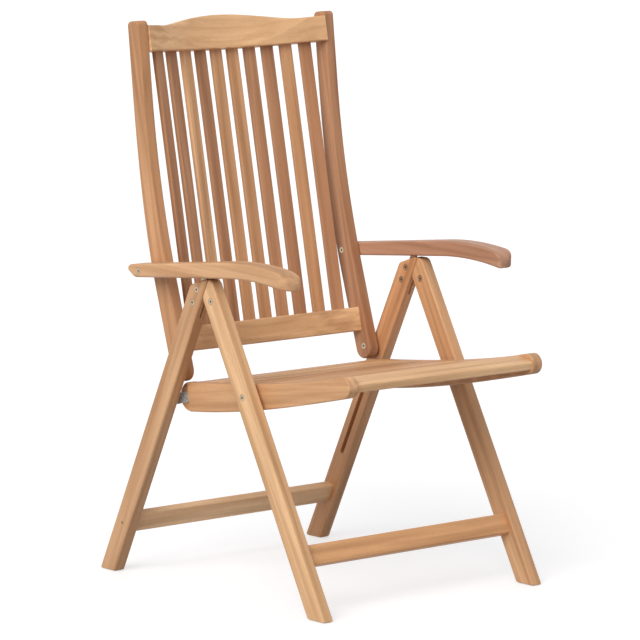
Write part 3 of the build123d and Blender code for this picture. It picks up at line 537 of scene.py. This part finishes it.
# %% The legs with worn feet
rim, rim_slices, sole_below = 0.0045, (0.08, 0.25, 0.55, 1.0), 0.0004
for name in ("front_leg_left", "front_leg_right", "rear_leg_left", "rear_leg_right"):
    mesh = open_copy(name)
    lean = math.tan(math.radians(lean_of[name.rsplit("_", 1)[0]]))
    sole = [corner.co.copy() for corner in mesh.verts if corner.co.z < sole_below]
    lows = [min(point[axis] for point in sole) for axis in (0, 1)]
    highs = [max(point[axis] for point in sole) for axis in (0, 1)]
    half = [(high - low) / 2 for low, high in zip(lows, highs)]
    middle = [(high + low) / 2 for low, high in zip(lows, highs)]
    sliced(mesh, Vector((0.0, 0.0, 1.0)), [share * rim for share in rim_slices])
    for corner in mesh.verts:
        if corner.co.z < rim:
            pull = rim * rounded(max(corner.co.z, 0.0) / rim)
            centre_y = middle[1] + lean * corner.co.z
            corner.co.x = middle[0] + (corner.co.x - middle[0]) * (1.0 - pull / half[0])
            corner.co.y = centre_y + (corner.co.y - centre_y) * (1.0 - pull / half[1])
    bmesh.ops.remove_doubles(mesh, verts=mesh.verts, dist=1e-5)
    piece = stand_in(name, mesh)
    print(piece.name, "sole:", [round(2 * h, 4) for h in half], "faces:", len(piece.data.polygons))

# %% [markdown]
# ## Dark sockets in the bolt heads
# The key's hexagon in each bolt head is a deep, narrow hole that lies in shade, so each head has a dark
# middle;
# here that shade is painted. Painting a dark dot would look flat from the side. A small cup of six walls and
# a floor lines each socket and carries the painted shade. Round each head the gap in the countersink lies in
# shade too, and a thin dark bead about a millimetre wide paints that shadow. For each joint the table below
# gives its body, where its bolts run (y and z), and how far from the chair's middle the faces with their
# heads lie. A bolt that is a pivot runs where the chair's record has that pivot. Both shapes are profiles of
# (radius, depth) turned round the bolt, closed into thin solids.

# %% Socket cups and beads of painted shade
# Painted shade: the near-black finish of the socket cups stands in for the shade deep in each key socket.
socket_shade_finish = fitting_finish("socket_painted_shade", (0.055, 0.048, 0.040), 0.3, 0.55, 0.80)
# Painted shadow: the dark bead round each head stands in for the shadow in the gap between head and
# countersink.
gap_shade_finish = fitting_finish("gap_shade_finish", (0.17, 0.105, 0.065), 0.0, 0.45, 0.70)
pivot = {joint["name"]: joint["pos_m"][1:] for joint in frame["record"]["behaviour"]["joints"]}
sockets = (("hinge_plate", "rear_frame", ((0.06519, 0.58431), (0.05213, 0.61132)), (0.264, 0.290)),
           ("leg_hinge", "front_frame", (pivot["leg_fold"],), (0.264, 0.290)),
           ("seat_pivot", "front_frame", (pivot["seat_fold"],), (0.229, 0.290)),
           ("arm_pivot", "back", (pivot["left_arm_swing"],), (0.233, 0.306)),
           ("back_pivot", "rear_frame", (pivot["back_recline"],), (0.233,)))
outer_from = 0.28
cup_profile = ((0.00228, 0.00004), (0.00228, 0.00116), (0.00206, 0.00098), (0.00206, 0.00004))
bead_profile = ((0.00640, 0.00010), (0.00665, -0.00003), (0.00700, -0.00004), (0.00735, 0.00010))
cup_sides, bead_sides = 6, 32


def turned(mesh, spot, inward, profile, sides, capped):
    """Adds rings of (radius, depth) round a bolt's axis and skins them; capped closes a cup's floors."""
    angles = [2 * math.pi * step / sides for step in range(sides)]
    loops = [[mesh.verts.new((spot.x + inward * depth, spot.y + radius * math.cos(angle),
                              spot.z + radius * math.sin(angle))) for angle in angles]
             for radius, depth in profile]
    pairs = list(zip(loops, loops[1:] + loops[:1]))
    if capped:
        del pairs[1]
        mesh.faces.new(loops[1])
        mesh.faces.new(loops[2])
    for near, far in pairs:
        for step in range(sides):
            mesh.faces.new((near[step - 1], near[step], far[step], far[step - 1]))


for joint, body, places, faces_at in sockets:
    cups, beads = bmesh.new(), bmesh.new()
    for side in (-1, 1):
        for y, z in places:
            for face_at in faces_at:
                spot = Vector((side * face_at, y, z))
                inward = -side if face_at > outer_from else side
                turned(cups, spot, inward, cup_profile, cup_sides, True)
                turned(beads, spot, inward, bead_profile, bead_sides, False)
    for mesh, suffix, finish in ((cups, "_socket_cups", socket_shade_finish), (beads, "_gap_shade_rings", gap_shade_finish)):
        bmesh.ops.recalc_face_normals(mesh, faces=mesh.faces)
        piece = new_piece(joint + suffix, mesh, finish, body)
        print(piece.name, "faces:", len(piece.data.polygons))

# %% [markdown]
# ## Floor and light
# A plain white studio: a floor that catches a soft shadow, one large soft light from the left front, as from
# a tall window, and an even white sky. The floor and the sky look white only to the camera and in what
# mirrors them, so that no extra light falls on the wood. To the wood the floor is a middle grey: a white one
# would throw light up at the boards and take away the difference between their faces.

# %% Floor
floor_grey, floor_lift = (0.50, 0.50, 0.51, 1.0), 0.58
white = (1.0, 1.0, 1.0, 1.0)


def looked_at(tree):
    """1 where the camera looks, also by way of a mirror or glass, and 0 for light that falls on things."""
    path = add(tree, "ShaderNodeLightPath")
    mirrored = maths(tree, "MAXIMUM", path.outputs["Is Glossy Ray"], path.outputs["Is Transmission Ray"])
    return maths(tree, "MAXIMUM", path.outputs["Is Camera Ray"], mirrored)


bpy.ops.mesh.primitive_plane_add(size=60.0)
floor = bpy.context.object
floor.name = "studio_floor"
floor_finish = bpy.data.materials.new("studio_white")
floor_finish.use_nodes = True
floor_tree = floor_finish.node_tree
floor_shader = floor_tree.nodes["Principled BSDF"]
floor_shader.inputs["Base Color"].default_value = floor_grey
floor_shader.inputs["Roughness"].default_value = 0.6
floor_shader.inputs["Specular IOR Level"].default_value = 0.1
lift_strength = maths(floor_tree, "MULTIPLY", looked_at(floor_tree), floor_lift)
lift = add(floor_tree, "ShaderNodeEmission", [("Color", white), ("Strength", lift_strength)])
both = add(floor_tree, "ShaderNodeAddShader", [(0, floor_shader.outputs[0]), (1, lift.outputs[0])])
floor_tree.links.new(both.outputs[0], floor_tree.nodes["Material Output"].inputs["Surface"])
floor.data.materials.append(floor_finish)
print("floor laid")

# %% Sky and window
sky_light, sky_lift = 0.47, 0.53
window_from, window_strength, window_spread = Vector((-0.80, -0.36, 0.66)), 2.25, 45.0
world = bpy.data.worlds.new("studio_sky")
scene.world = world
world.use_nodes = True
sky_tree = world.node_tree
sky = sky_tree.nodes["Background"]
sky.inputs["Color"].default_value = white
sky_strength = maths(sky_tree, "MULTIPLY_ADD", looked_at(sky_tree), sky_lift, sky_light)
sky_tree.links.new(sky_strength, sky.inputs["Strength"])
window = bpy.data.lights.new("window_left", "SUN")
window.energy, window.angle = window_strength, math.radians(window_spread)
lamp = bpy.data.objects.new("window_left", window)
lamp.rotation_euler = window_from.to_track_quat("Z", "Y").to_euler()
scene.collection.objects.link(lamp)

# %% [markdown]
# ## Finish
# The scene is brought up to date at the end.

# %% Finish
bpy.context.view_layer.update()
